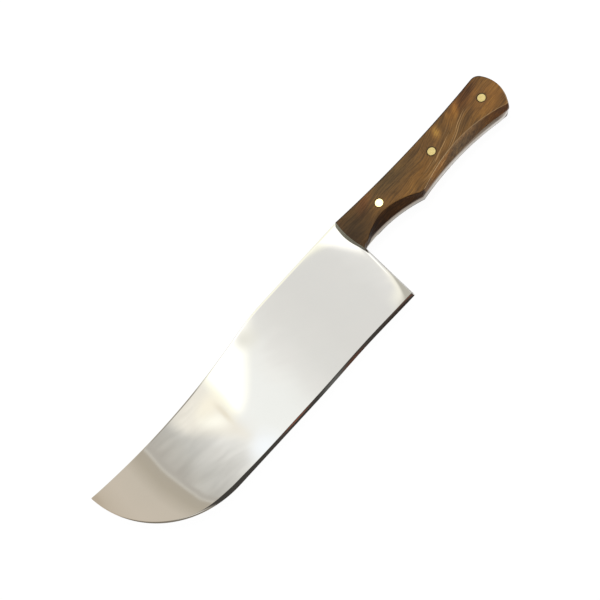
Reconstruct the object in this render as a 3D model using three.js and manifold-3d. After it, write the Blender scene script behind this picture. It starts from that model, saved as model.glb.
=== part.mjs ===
// Barbecue knife: a wide polished blade with a full tang, two carved wooden scales and three brass pins.
// Millimetres. The knife is drawn lying on its side: x runs from the tip (-) to the butt (+) with the top
// of the heel at 0, y runs from the cutting edge (0) up to the spine, and z is the thickness, with the
// blade's middle plane at 0. Heights on the handle are drops below the spine line.
import * as THREE from "three";
import { mergeVertices, toCreasedNormals } from "three/addons/utils/BufferGeometryUtils.js";
import Module from "manifold-3d";

// Blade outline
const bladeLength = 210; // top of the heel to the tip
const bladeWidth = 64; // cutting edge to spine
const heelLean = 2.2; // the heel's lower corner lies this far toward the tip
const bellyRadius = 66.7; // round of the edge up to the tip
const tipDrop = 3.6; // tip below the spine line
const clipStart = 75; // top of the heel to the bend where the spine falls away
const clipHollow = 5.2; // deepest point of the clip below its chord
const clipBlend = 10; // softened length on each side of that bend

// Blade section
const tangThickness = 4; // plate that the blade and the tang are cut from
const bevelWidth = 2.2; // ground strip along the cutting edge
const bevelShoulder = 1.1; // thickness where the flat grind meets that strip
const edgeThickness = 0.3;

// Handle outline
const handleLength = 116.2; // top of the heel to the end of the butt
const backLowX = 64.6; // lowest point of the hollow back
const backLowDrop = 5.2;
const backRadius = 707;
const firstGrooveX = 9.2; // highest point of the groove for the forefinger
const firstGrooveDrop = 22.8;
const firstGrooveRadius = 88;
const secondGrooveX = 67; // highest point of the long groove behind it
const secondGrooveDrop = 27.1;
const secondGrooveRadius = 168;
const heelFillet = 4; // inside corner between the heel and the handle
const buttRadius = 21;
const buttDrop = 16.5; // centre of the butt's round end
const buttCorner = 3.2; // softened length on each side of the butt's upper corner
const buttToe = 4; // the same at its lower corner

// Scales
const scaleThickness = 5;
const scaleOverlap = 1.4; // the scale's front end reaches this far past the heel
const frontBulge = 1.4; // bow of that front end
const edgeEase = 0.9; // rounded outer edges
const facetWidth = 4.5; // widest stretch of the two carved facets
const facetRim = 0.8; // wood left standing on the tang under a facet
const facetRunout = 0.4; // how far outside the wood a facet's cut begins and ends
const firstFacetStart = 3.6;
const secondFacetRun = 76; // runs out past the butt
const tangSetback = 0.2; // tang shoulder behind the scale's front end

// Pins
const pinDiameter = 5;
const pinClearance = 0.15; // all round, in the scales and the tang
const pinRecess = 0.05; // pin ends under the scale faces
const frontPinX = 22.7;
const rearPinInset = 11.9; // rear pin from the end of the butt

// Facets of the model
const shoulderSteps = 4;
const bladeSteps = 46;
const arcSteps = 6;
const easeSteps = 2;
const facetSteps = 18;
const pinSides = 24;
const creaseAngle = Math.PI / 9; // sharper corners than this are shaded as edges
const weld = 1e-4;
const cutMargin = 2; // how far a cutter stands clear of what it cuts

const wasm = await Module();
wasm.setup();

const vec = (x, y) => new THREE.Vector2(x, y);

// Heights in y
const tipY = bladeWidth - tipDrop;
const tangHalf = tangThickness / 2;
const outerZ = tangHalf + scaleThickness;

// A circle of the handle's outline, with the heights of its upper and lower halves over x
function circle(x, y, radius) {
  const rise = (at) => Math.sqrt(radius * radius - (at - x) * (at - x));
  return { x, y, radius, above: (at) => y + rise(at), below: (at) => y - rise(at) };
}
const backCircle = circle(backLowX, bladeWidth - backLowDrop + backRadius, backRadius);
const grooveCircle = (x, drop, radius) => circle(x, bladeWidth - drop - radius, radius);
const firstGroove = grooveCircle(firstGrooveX, firstGrooveDrop, firstGrooveRadius);
const secondGroove = grooveCircle(secondGrooveX, secondGrooveDrop, secondGrooveRadius);
const butt = circle(handleLength - buttRadius, bladeWidth - buttDrop, buttRadius);
const backFrontY = backCircle.below(0);

// Where two circles cross: side +1 and -1 pick the two crossings
function crossing(a, b, side) {
  const apart = Math.hypot(b.x - a.x, b.y - a.y);
  const along = (apart * apart + a.radius * a.radius - b.radius * b.radius) / (2 * apart);
  const across = side * Math.sqrt(a.radius * a.radius - along * along);
  const ux = (b.x - a.x) / apart;
  const uy = (b.y - a.y) / apart;
  return vec(a.x + along * ux - across * uy, a.y + along * uy + across * ux);
}
const angleOn = (c, point) => Math.atan2(point.y - c.y, point.x - c.x);
const pointOn = (c, angle) => vec(c.x + c.radius * Math.cos(angle), c.y + c.radius * Math.sin(angle));
const ridge = crossing(firstGroove, secondGroove, 1);
const buttHeel = crossing(secondGroove, butt, -1);
const buttBack = crossing(backCircle, butt, 1);

// The heel leans from the handle's back down to the cutting edge
const heelAt = (y) => -heelLean * (1 - y / backFrontY);

// Fillet in the corner under the handle: it touches the heel and lies inside the first groove's circle
function cornerFillet() {
  const x = heelAt(bladeWidth - firstGrooveDrop - heelFillet) + heelFillet;
  const reach = firstGrooveRadius - heelFillet;
  const y = firstGroove.y + Math.sqrt(reach * reach - (x - firstGroove.x) ** 2);
  return circle(x, y, heelFillet);
}
const fillet = cornerFillet();

// Stretches of the handle's outline. Each goes on from where the shape has got to.
function addArc(shape, c, from, to, clockwise) {
  shape.absarc(c.x, c.y, c.radius, from, to, clockwise);
}

// Lower side: corner fillet, forefinger groove and long groove, up to an angle on the last
function addGrooves(shape, endAngle) {
  const filletEnd = angleOn(firstGroove, fillet);
  shape.lineTo(fillet.x - heelFillet, fillet.y);
  addArc(shape, fillet, Math.PI, filletEnd, true);
  addArc(shape, firstGroove, filletEnd, angleOn(firstGroove, ridge), true);
  addArc(shape, secondGroove, angleOn(secondGroove, ridge), endAngle, true);
}

// The butt's lower corner is softened from this angle on the groove to this one on the butt
const toeOnGroove = angleOn(secondGroove, buttHeel) + buttToe / secondGrooveRadius;
const toeOnButt = angleOn(butt, buttHeel) + buttToe / buttRadius;

// Round butt with its softened corners, and the hollow back as far as endX
function addButtAndBack(shape, endX) {
  const toeEnd = pointOn(butt, toeOnButt);
  const onButt = angleOn(butt, buttBack) - buttCorner / buttRadius;
  const onBack = angleOn(backCircle, buttBack) - buttCorner / backRadius;
  const backStart = pointOn(backCircle, onBack);
  const backEnd = angleOn(backCircle, vec(endX, backCircle.below(endX)));
  shape.quadraticCurveTo(buttHeel.x, buttHeel.y, toeEnd.x, toeEnd.y);
  addArc(shape, butt, toeOnButt, onButt, false);
  shape.quadraticCurveTo(buttBack.x, buttBack.y, backStart.x, backStart.y);
  addArc(shape, backCircle, onBack, backEnd, true);
}

// Front end from the back down to the corner fillet, bowed toward the blade
function addFront(shape, frontX) {
  const top = vec(frontX, backCircle.below(frontX));
  const foot = vec(frontX, fillet.y);
  const half = (top.y - foot.y) / 2;
  const radius = (half * half + frontBulge * frontBulge) / (2 * frontBulge);
  const front = circle(frontX - frontBulge + radius, foot.y + half, radius);
  addArc(shape, front, angleOn(front, top), angleOn(front, foot), false);
}

// The tang has the whole outline
function tangOutline() {
  const frontX = tangSetback - scaleOverlap;
  const shape = new THREE.Shape();
  shape.moveTo(frontX, fillet.y);
  addGrooves(shape, toeOnGroove);
  addButtAndBack(shape, frontX);
  addFront(shape, frontX);
  return shape;
}

// A scale is what two blanks have in common: this one has its front end and grooves, and is open above
function groovedOutline() {
  const farX = handleLength + cutMargin;
  const shape = new THREE.Shape();
  shape.moveTo(-scaleOverlap, fillet.y);
  addGrooves(shape, angleOn(secondGroove, vec(farX, secondGroove.above(farX))));
  shape.lineTo(farX, bladeWidth);
  shape.lineTo(-scaleOverlap, bladeWidth);
  addFront(shape, -scaleOverlap);
  return shape;
}

// and this one has its back and butt, and is open in front and below
function backOutline() {
  const nearX = -scaleOverlap - frontBulge - cutMargin;
  const toeStart = pointOn(secondGroove, toeOnGroove);
  const shape = new THREE.Shape();
  shape.moveTo(nearX, 0);
  shape.lineTo(toeStart.x, 0);
  shape.lineTo(toeStart.x, toeStart.y);
  addButtAndBack(shape, nearX);
  return shape;
}

// A welded solid from a closed geometry; triangles that the weld closes up are left out
function toSolid(geometry) {
  const bare = geometry.clone();
  bare.deleteAttribute("normal");
  bare.deleteAttribute("uv");
  const merged = mergeVertices(bare, weld);
  const corners = merged.index.array;
  const kept = [];
  for (let i = 0; i < corners.length; i += 3) {
    const [a, b, c] = corners.subarray(i, i + 3);
    if (a !== b && b !== c && c !== a) kept.push(a, b, c);
  }
  const vertProperties = new Float32Array(merged.attributes.position.array);
  return new wasm.Manifold(new wasm.Mesh({ numProp: 3, vertProperties, triVerts: new Uint32Array(kept) }));
}

function toGeometry(solid) {
  const mesh = solid.getMesh();
  const geometry = new THREE.BufferGeometry();
  geometry.setAttribute("position", new THREE.BufferAttribute(mesh.vertProperties, 3));
  geometry.setIndex(new THREE.BufferAttribute(mesh.triVerts, 1));
  return geometry;
}

// A solid carried through a list of convex rings of points, with flat ends. Looking along the way that it
// is carried, each ring runs anticlockwise.
function loft(rings) {
  const size = rings[0].length;
  const index = [];
  for (let row = 0; row + 1 < rings.length; row += 1) {
    for (let i = 0; i < size; i += 1) {
      const next = (i + 1) % size;
      const here = row * size;
      const there = here + size;
      index.push(here + i, there + i, there + next, here + i, there + next, here + next);
    }
  }
  const last = (rings.length - 1) * size;
  for (let i = 1; i + 1 < size; i += 1) {
    index.push(0, i, i + 1, last, last + i + 1, last + i);
  }
  const geometry = new THREE.BufferGeometry();
  geometry.setAttribute("position", new THREE.Float32BufferAttribute(rings.flat(2), 3));
  geometry.setIndex(index);
  return geometry;
}

// Spine from the handle to the tip: rounded shoulder, straight back, soft bend, hollow clip
function spinePath() {
  const shoulder = bladeWidth - backFrontY;
  const bend = vec(-clipStart, bladeWidth);
  const tip = vec(-bladeLength, tipY);
  const chord = bend.distanceTo(tip);
  const clipRadius = (chord * chord) / (8 * clipHollow) + clipHollow / 2;
  const upright = vec(bend.y - tip.y, bend.x - tip.x).normalize();
  upright.x = -upright.x;
  const middle = bend.clone().add(tip).multiplyScalar(0.5);
  const centre = middle.addScaledVector(upright, clipRadius - clipHollow);
  const clip = circle(centre.x, centre.y, clipRadius);
  const clipFrom = angleOn(clip, bend) - clipBlend / clipRadius;
  const clipTo = angleOn(clip, tip);
  const blendStart = vec(clipBlend - clipStart, bladeWidth);
  const blendEnd = pointOn(clip, clipFrom);

  const path = new THREE.CurvePath();
  path.add(new THREE.EllipseCurve(-shoulder, backFrontY, shoulder, shoulder, 0, Math.PI / 2));
  path.add(new THREE.LineCurve(vec(-shoulder, bladeWidth), blendStart));
  path.add(new THREE.QuadraticBezierCurve(blendStart, bend, blendEnd));
  path.add(new THREE.EllipseCurve(clip.x, clip.y, clipRadius, clipRadius, clipFrom, clipTo, true));
  return path;
}

// Cutting edge from the heel to the tip: straight, then the round belly
function edgePath() {
  const bellyX = Math.sqrt(bellyRadius ** 2 - (bellyRadius - tipY) ** 2) - bladeLength;
  const belly = circle(bellyX, bellyRadius, bellyRadius);
  const tipAngle = angleOn(belly, vec(-bladeLength, tipY));
  const path = new THREE.CurvePath();
  path.add(new THREE.LineCurve(vec(-heelLean, 0), vec(bellyX, 0)));
  path.add(new THREE.EllipseCurve(belly.x, belly.y, bellyRadius, bellyRadius, -Math.PI / 2, tipAngle, true));
  return path;
}

// Sections from the spine to the edge: a flat grind, then the ground strip. The plate thins to the tip
// as a quarter of an ellipse.
function bladeGeometry() {
  const spine = spinePath();
  const edge = edgePath();
  const shoulderShare = spine.curves[0].getLength() / spine.getLength();
  const stations = [];
  for (let i = 0; i < shoulderSteps; i += 1) {
    stations.push((shoulderShare * i) / shoulderSteps);
  }
  for (let i = 0; i <= bladeSteps; i += 1) {
    stations.push(shoulderShare + ((1 - shoulderShare) * i) / bladeSteps);
  }
  const rings = stations.map((t) => {
    const top = spine.getPoint(t);
    const foot = edge.getPoint(t);
    const width = top.distanceTo(foot);
    const share = Math.min(bevelWidth, width / 2) / Math.max(width, weld);
    const ground = foot.clone().lerp(top, share);
    const fullness = Math.sqrt(Math.max(0, 1 - t * t));
    const half = (thickness) => (edgeThickness + (thickness - edgeThickness) * fullness) / 2;
    const ring = [
      [top.x, top.y, half(tangThickness)],
      [ground.x, ground.y, half(bevelShoulder)],
      [foot.x, foot.y, edgeThickness / 2],
    ];
    const farSide = ring.map(([x, y, z]) => [x, y, -z]).reverse();
    return [...ring, ...farSide];
  });
  return loft(rings);
}

function plate(outline, bottom, top) {
  const settings = { depth: top - bottom, bevelEnabled: false, curveSegments: arcSteps };
  return new THREE.ExtrudeGeometry(outline, settings).translate(0, 0, bottom);
}

// Pin places: on the handle's middle line, the rear one on the butt's centre
const rearPinX = handleLength - rearPinInset;
const middlePinX = (frontPinX + rearPinX) / 2;
const pinPlaces = {
  front_pin: vec(frontPinX, (backCircle.below(frontPinX) + firstGroove.above(frontPinX)) / 2),
  middle_pin: vec(middlePinX, (backCircle.below(middlePinX) + secondGroove.above(middlePinX)) / 2),
  rear_pin: vec(rearPinX, butt.y),
};

function rod(radius, length, place) {
  const geometry = new THREE.CylinderGeometry(radius, radius, length, pinSides);
  return geometry.rotateX(Math.PI / 2).translate(place.x, place.y, 0);
}

function drillPins(solid) {
  const radius = pinDiameter / 2 + pinClearance;
  const depth = 2 * (outerZ + cutMargin);
  const holes = Object.values(pinPlaces).map((place) => toSolid(rod(radius, depth, place)));
  return holes.reduce((drilled, hole) => drilled.subtract(hole), solid);
}

// A carved facet: a slanted cut from the rim on the tang up into the scale's face. Its width swells and
// falls as half a sine wave along the groove that it follows, and it runs out of the wood at both ends.
function facetCutter(groove, from, to) {
  const rimZ = tangHalf + facetRim;
  const topZ = outerZ + cutMargin;
  const rings = [];
  for (let i = 0; i <= facetSteps; i += 1) {
    const s = i / facetSteps;
    const swell = Math.sin(Math.PI * s);
    const x = THREE.MathUtils.lerp(from, to, s);
    const rimY = groove.above(x) - facetRunout * (1 - swell);
    const slope = (facetWidth * swell) / (outerZ - rimZ);
    rings.push([
      [x, rimY - slope * facetRim, tangHalf],
      [x, rimY - facetWidth - cutMargin, topZ],
      [x, rimY + slope * (topZ - rimZ), topZ],
    ]);
  }
  return toSolid(loft(rings));
}

// Left scale: crisp along the front and the carved side, rounded along the back and the butt
function scaleGeometry() {
  const grooved = plate(groovedOutline(), tangHalf, outerZ + cutMargin);
  const backed = new THREE.ExtrudeGeometry(backOutline(), {
    depth: outerZ - edgeEase,
    bevelThickness: edgeEase,
    bevelSize: edgeEase,
    bevelOffset: -edgeEase,
    bevelSegments: easeSteps,
    curveSegments: arcSteps,
  });
  const carved = toSolid(grooved)
    .intersect(toSolid(backed))
    .subtract(facetCutter(firstGroove, firstFacetStart, ridge.x))
    .subtract(facetCutter(secondGroove, ridge.x, ridge.x + secondFacetRun));
  return toGeometry(drillPins(carved));
}

// The same solid on the other side of the blade's middle plane
function mirrored(geometry) {
  const copy = geometry.clone().scale(1, 1, -1);
  const corners = copy.index.array;
  for (let i = 0; i < corners.length; i += 3) {
    [corners[i], corners[i + 1]] = [corners[i + 1], corners[i]];
  }
  return copy;
}

const steel = new THREE.MeshStandardMaterial({ color: 0xd9d8d4, roughness: 0.12, metalness: 1 });
const wood = new THREE.MeshStandardMaterial({ color: 0x7b5730, roughness: 0.5, metalness: 0 });
const brass = new THREE.MeshStandardMaterial({ color: 0xe8d58a, roughness: 0.3, metalness: 1 });

const knife = new THREE.Group();
function addPiece(name, geometry, material) {
  const piece = new THREE.Mesh(toCreasedNormals(geometry, creaseAngle), material);
  piece.name = name;
  knife.add(piece);
}

const tang = toSolid(plate(tangOutline(), -tangHalf, tangHalf));
addPiece("blade", toGeometry(drillPins(toSolid(bladeGeometry()).add(tang))), steel);
const leftScale = scaleGeometry();
addPiece("left_scale", leftScale, wood.clone());
addPiece("right_scale", mirrored(leftScale), wood.clone());
for (const [name, place] of Object.entries(pinPlaces)) {
  addPiece(name, rod(pinDiameter / 2, 2 * (outerZ - pinRecess), place), brass.clone());
}

// Origin under the middle of the knife, on the surface that it lies on
const box = new THREE.Box3().setFromObject(knife);
const centre = box.getCenter(new THREE.Vector3());
knife.position.set(-centre.x, -centre.y, -box.min.z);

export default knife;
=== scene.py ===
# Barbecue knife: polished blade with a full tang, two carved wooden scales and three brass pins.
# Shapes are worked out in millimetres in knife coordinates: x is 0 at the top of the heel, + toward
# the butt and - toward the tip, y is 0 at the cutting edge, z is 0 in the blade's middle plane.
import math
from functools import partial

import bmesh
import bpy
import numpy as np
from mathutils import Matrix, Vector


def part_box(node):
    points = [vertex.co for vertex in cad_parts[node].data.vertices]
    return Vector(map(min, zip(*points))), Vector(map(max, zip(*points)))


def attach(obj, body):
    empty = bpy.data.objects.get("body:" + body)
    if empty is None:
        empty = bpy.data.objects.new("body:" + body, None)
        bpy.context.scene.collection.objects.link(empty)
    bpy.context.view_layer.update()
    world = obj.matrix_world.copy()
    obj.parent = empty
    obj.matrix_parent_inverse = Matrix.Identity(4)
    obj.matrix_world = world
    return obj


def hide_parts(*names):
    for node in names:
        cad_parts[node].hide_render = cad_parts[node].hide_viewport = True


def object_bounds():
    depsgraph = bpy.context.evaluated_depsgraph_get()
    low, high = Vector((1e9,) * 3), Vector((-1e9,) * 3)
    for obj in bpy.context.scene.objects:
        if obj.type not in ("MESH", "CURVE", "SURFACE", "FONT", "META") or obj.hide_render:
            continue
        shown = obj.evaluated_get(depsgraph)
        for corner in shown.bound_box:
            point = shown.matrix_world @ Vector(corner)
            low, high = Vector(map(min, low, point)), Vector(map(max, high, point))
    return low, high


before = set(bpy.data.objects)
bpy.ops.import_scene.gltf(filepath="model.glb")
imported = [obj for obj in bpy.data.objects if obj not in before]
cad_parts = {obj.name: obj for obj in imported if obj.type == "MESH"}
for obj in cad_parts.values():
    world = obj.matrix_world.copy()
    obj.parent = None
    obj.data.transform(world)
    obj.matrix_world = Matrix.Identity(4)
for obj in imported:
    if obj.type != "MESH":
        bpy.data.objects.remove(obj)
cadLow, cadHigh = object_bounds()
mm = 0.001
bladeLow, bladeHigh = (np.array(corner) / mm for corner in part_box("blade"))
scaleLow, scaleHigh = (np.array(corner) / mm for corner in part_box("left_scale"))
middleZ = (cadLow.z + cadHigh.z) / 2 / mm
tangHalf = scaleLow[2] - middleZ
outerZ = scaleHigh[2] - middleZ
bladeWidth = bladeHigh[1] - bladeLow[1]
print("frame loaded, knife of", np.round(bladeHigh - bladeLow, 1), "mm")

# Outline of the handle: heights are drops below the spine line
handle = {
    "length": 116.2,
    "backLowX": 64.6, "backLowDrop": 5.2, "backRadius": 707.0,  # hollow back
    "firstX": 9.2, "firstDrop": 22.8, "firstRadius": 88.0,  # groove for the forefinger
    "secondX": 67.0, "secondDrop": 27.1, "secondRadius": 168.0,  # long groove behind it
    "heelFillet": 2.2, "heelLean": 2.2,
    "buttDrop": 16.5, "buttRadius": 21.0, "buttCorner": 3.2,
    "frontX": -1.4, "frontBulge": 1.4, "footBlend": 3.0,
}
# Points on each curve
samples = {
    "butt": 300, "toe": 100, "corner": 40,
    "shoulder": 40, "clipBend": 60, "clip": 400, "edge": 200, "belly": 500,
    "fillet": 14, "first": 60, "second": 100, "across": 40,
}
hairline = 1e-4  # keeps thin strips from closing
heelX = bladeHigh[0] - handle["length"]  # top of the heel in the frame
knifeOrigin = np.array([heelX, bladeLow[1], middleZ])


# Shapes in the plane of the blade. A circle is (x, y, radius).
def angleOn(circle, point):
    return math.atan2(point[1] - circle[1], point[0] - circle[0])


def pointOn(circle, angle):
    return np.array([circle[0] + circle[2] * np.cos(angle), circle[1] + circle[2] * np.sin(angle)])


# Points at even steps of angle on a circle
def arcPoints(circle, start, end, count):
    return pointOn(circle, np.linspace(start, end, count)).T


# The same circle with its radius changed
def grown(circle, amount):
    return (circle[0], circle[1], circle[2] + amount)


# Height of a circle's upper (side 1) or lower (side -1) half over x
def heightOn(circle, x, side=1):
    return circle[1] + side * np.sqrt(np.maximum(0, circle[2] ** 2 - (x - circle[0]) ** 2))


# One of the two points where two circles cross: side 1 or -1 picks it
def crossing(a, b, side):
    apart = math.hypot(b[0] - a[0], b[1] - a[1])
    along = (apart ** 2 + a[2] ** 2 - b[2] ** 2) / (2 * apart)
    across = side * math.sqrt(a[2] ** 2 - along ** 2)
    ux, uy = (b[0] - a[0]) / apart, (b[1] - a[1]) / apart
    return np.array([a[0] + along * ux - across * uy, a[1] + along * uy + across * ux])


# Points at given shares of a path's length, 0 at its start and 1 at its end
def alongPath(path, shares):
    steps = np.linalg.norm(np.diff(path, axis=0), axis=1)
    reach = np.concatenate([[0], np.cumsum(steps)])
    return np.stack([np.interp(shares * reach[-1], reach, path[:, axis]) for axis in (0, 1)], -1)


# Quadratic curve from one point to another, pulled toward a third
def bend(start, pull, end, count):
    t = np.linspace(0, 1, count)[:, None]
    return (1 - t) ** 2 * start + 2 * t * (1 - t) * pull + t ** 2 * end


# 0 below low, 1 above high, easing in and out between
def smooth(value, low, high):
    t = np.clip((value - low) / (high - low), 0, 1)
    return t * t * (3 - 2 * t)


def grooveCircle(x, drop, radius):
    return (x, bladeWidth - drop - radius, radius)


backY = bladeWidth - handle["backLowDrop"] + handle["backRadius"]
backArc = (handle["backLowX"], backY, handle["backRadius"])
firstGroove = grooveCircle(handle["firstX"], handle["firstDrop"], handle["firstRadius"])
secondGroove = grooveCircle(handle["secondX"], handle["secondDrop"], handle["secondRadius"])
buttX, buttY = handle["length"] - handle["buttRadius"], bladeWidth - handle["buttDrop"]
buttArc = (buttX, buttY, handle["buttRadius"])
ridge = crossing(firstGroove, secondGroove, 1)
shoulderY = heightOn(backArc, 0, -1)  # where the handle's back meets the blade


def heelLine(y):
    return -handle["heelLean"] * (1 - y / shoulderY)


# Fillet between the heel and the forefinger groove, inside the groove's circle
def heelFillet():
    radius = handle["heelFillet"]
    x = heelLine(bladeWidth - handle["firstDrop"] - radius) + radius
    y = firstGroove[1] + math.sqrt((firstGroove[2] - radius) ** 2 - (x - firstGroove[0]) ** 2)
    return (x, y, radius)


fillet = heelFillet()


# Lower side of the handle over x: the heel's fillet and the two grooves
def grooves(x):
    groove = np.where(x < ridge[0], heightOn(firstGroove, x), heightOn(secondGroove, x))
    return np.where(x < fillet[0], np.minimum(groove, heightOn(fillet, x)), groove)


# Path round the butt from the second groove to the back, moved inwards, with both corners softened:
# toe is the softened length on each side of the lower one
def buttPath(inset, toe):
    groove, butt, back = grown(secondGroove, inset), grown(buttArc, -inset), grown(backArc, inset)
    soft = handle["buttCorner"]
    low, corner = crossing(groove, butt, -1), crossing(back, butt, 1)
    start = pointOn(groove, angleOn(groove, low) + toe / groove[2])
    end = pointOn(back, angleOn(back, corner) - soft / back[2])
    arc = arcPoints(butt, angleOn(butt, low) + toe / butt[2], angleOn(butt, corner) - soft / butt[2],
                    samples["butt"])
    return np.concatenate([bend(start, low, arc[0], samples["toe"]), arc[1:-1],
                           bend(arc[-1], corner, end, samples["corner"])])


# Lower side with the butt's softened corner and round
def lowerSide(x, toe):
    rim = buttPath(0, toe)
    rim = rim[:np.argmax(rim[:, 0]) + 1]
    return np.where(x > rim[0, 0], np.interp(x, rim[:, 0], rim[:, 1]), grooves(x))


# Grids to meshes
weld = {"merge": 0.002, "shortest": 0.001}
plainCrease = 32  # degrees: corners sharper than a piece's crease stay crisp


def toFrame(points):
    return (points + knifeOrigin) * mm


# One closed mesh from grids of points (rows, columns, 3): every grid becomes quads, edges that meet are
# merged, and faces are turned outwards
def meshFromGrids(name, grids, crease):
    corners, quads, first = [], [], 0
    for grid in grids:
        rows, columns = grid.shape[:2]
        index = first + np.arange(rows * columns).reshape(rows, columns)
        quad = np.stack([index[:-1, :-1], index[:-1, 1:], index[1:, 1:], index[1:, :-1]], -1)
        corners.append(toFrame(grid.reshape(-1, 3)))
        quads.append(quad.reshape(-1, 4))
        first += rows * columns
    corners, quads = np.concatenate(corners), np.concatenate(quads)
    mesh = bpy.data.meshes.new(name)
    mesh.vertices.add(len(corners))
    mesh.vertices.foreach_set("co", corners.astype(np.float32).ravel())
    mesh.loops.add(quads.size)
    mesh.loops.foreach_set("vertex_index", quads.astype(np.int32).ravel())
    mesh.polygons.add(len(quads))
    mesh.polygons.foreach_set("loop_start", np.arange(0, quads.size, 4, dtype=np.int32))
    mesh.update(calc_edges=True)
    welded = bmesh.new()
    welded.from_mesh(mesh)
    bmesh.ops.remove_doubles(welded, verts=welded.verts, dist=weld["merge"] * mm)
    bmesh.ops.dissolve_degenerate(welded, edges=welded.edges, dist=weld["shortest"] * mm)
    bmesh.ops.recalc_face_normals(welded, faces=welded.faces)
    welded.to_mesh(mesh)
    welded.free()
    piece = bpy.data.objects.new(name, mesh)
    bpy.context.scene.collection.objects.link(piece)
    smoothFaces(piece, crease)
    return piece


def smoothFaces(piece, crease):
    mesh = piece.data
    mesh.polygons.foreach_set("use_smooth", np.ones(len(mesh.polygons), dtype=bool))
    mesh.set_sharp_from_angle(angle=math.radians(crease))


# Joins or cuts a piece with others, keeps the result as its mesh and removes the others
def carve(piece, operation, others, crease):
    for other in others:
        cut = piece.modifiers.new(operation, "BOOLEAN")
        cut.operation, cut.object, cut.solver = operation, other, "EXACT"
    depsgraph = bpy.context.evaluated_depsgraph_get()
    result = bpy.data.meshes.new_from_object(piece.evaluated_get(depsgraph))
    piece.modifiers.clear()
    piece.data = result
    for other in others:
        bpy.data.objects.remove(other)
    smoothFaces(piece, crease)


# A flat grid between four sides: opposite sides are blended across and the corners taken off once
# (Coons patch). Low and high run along u, near and far run along v.
def patch(low, high, near, far):
    u = np.linspace(0, 1, len(low))[:, None, None]
    v = np.linspace(0, 1, len(near))[None, :, None]
    across = (1 - v) * low[:, None] + v * high[:, None]
    along = (1 - u) * near[None] + u * far[None]
    corners = (1 - u) * ((1 - v) * low[0] + v * high[0]) + u * ((1 - v) * low[-1] + v * high[-1])
    return across + along - corners


# Adds z to points of x and y: one height for all, or one for each
def atHeight(flat, height):
    return np.concatenate([flat, np.broadcast_to(height, flat.shape[:-1])[..., None]], -1)


# A rod about z at (x, y): rings of radius and height, closed on the axis at both ends
def lathe(name, x, y, profile, sides=64, tilt=(0, 0)):
    turn = np.linspace(0, 2 * math.pi, sides + 1)[None]
    radius, height = profile[:, :1], profile[:, 1:]
    across, up = radius * np.cos(turn), radius * np.sin(turn)
    lean = (across * tilt[0] + up * tilt[1]) * np.sign(height)
    return meshFromGrids(name, [np.stack([x + across, y + up, height + lean], -1)], plainCrease)


# Blade
blade = {
    "bellyRadius": 66.7, "tipDrop": 3.6,
    "clipStart": 75.0, "clipHollow": 5.2, "clipBlend": 10.0,
    "bevelShoulder": 1.1, "edgeThickness": 0.3,
    "bevelWidth": 1.3, "bevelSwell": 0.95, "bevelSwellAt": 0.61, "bevelSwellLength": 0.07,
    "bevelThins": (0.62, 0.72), "bevelThinned": 0.74, "bevelTip": 0.12, "bevelTipFrom": (0.74, 0.83),
    "edgeHollow": 0.65, "edgeHollowX": -40.0, "edgeHollowLength": 42.0,
    "spineRound": 0.5, "heelRound": 0.5,
    "leastWidth": 0.001, "bevelMost": 0.4, "roundMost": 0.2, "roundThickness": 0.8, "heelLeast": 0.5,
    "tangSetback": 0.2, "tangChamfer": 0.12, "tangToe": 7.0,
    "grind": 1.2, "grindComes": (68.0, 100.0), "grindGoes": (107.5, 111.0), "grindDepth": 0.8,
    "heelStretch": 0.02, "heelStations": 14, "stations": 180, "faceColumns": 64, "roundColumns": 6,
    "crease": 40,
}
tip = np.array([handle["length"] - (bladeHigh[0] - bladeLow[0]), bladeWidth - blade["tipDrop"]])
bellyX = tip[0] + math.sqrt(blade["bellyRadius"] ** 2 - (blade["bellyRadius"] - tip[1]) ** 2)
belly = (bellyX, blade["bellyRadius"], blade["bellyRadius"])


# Spine from the handle to the tip: rounded shoulder, straight back, soft bend, hollow clip
def spinePath():
    shoulder = bladeWidth - shoulderY
    start = np.array([-blade["clipStart"], bladeWidth])
    chord = np.linalg.norm(tip - start)
    radius = chord ** 2 / (8 * blade["clipHollow"]) + blade["clipHollow"] / 2
    upright = np.array([tip[1] - start[1], start[0] - tip[0]]) / chord
    centre = (start + tip) / 2 + upright * (radius - blade["clipHollow"])
    clip = (centre[0], centre[1], radius)
    clipFrom = angleOn(clip, start) - blade["clipBlend"] / radius
    clipPath = arcPoints(clip, clipFrom, angleOn(clip, tip), samples["clip"])
    straightEnd = start + np.array([blade["clipBlend"], 0])
    return np.concatenate([
        arcPoints((-shoulder, shoulderY, shoulder), 0, math.pi / 2, samples["shoulder"]),
        bend(straightEnd, start, clipPath[0], samples["clipBend"]),
        clipPath[1:],
    ])


# Cutting edge from the heel to the tip: straight, with one shallow cosine hollow from sharpening, then
# the round belly
def edgePath():
    x = np.linspace(-handle["heelLean"], bellyX, samples["edge"])[:-1]
    away = np.clip((x - blade["edgeHollowX"]) / blade["edgeHollowLength"], -1, 1)
    straight = np.stack([x, blade["edgeHollow"] / 2 * (1 + np.cos(math.pi * away))], -1)
    curve = arcPoints(belly, -math.pi / 2, angleOn(belly, tip), samples["belly"])
    return np.concatenate([straight, curve])


# What the polishing wheel has taken off the faces, in millimetres: a roll toward the heel that widens
# down to its corner, and shallow waves (height, length, heading, start) that end before the bevel
polish = {
    "heelReach": (1.4, 7.5), "heelPower": 2.2, "heelSlope": 0.1,
    "waves": [(0.007, 46, 0.5, 0.4), (0.005, 31, 2.1, 1.9), (0.003, 19, -0.9, 0.7)], "wavesEnd": (0.8, 1),
}


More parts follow.
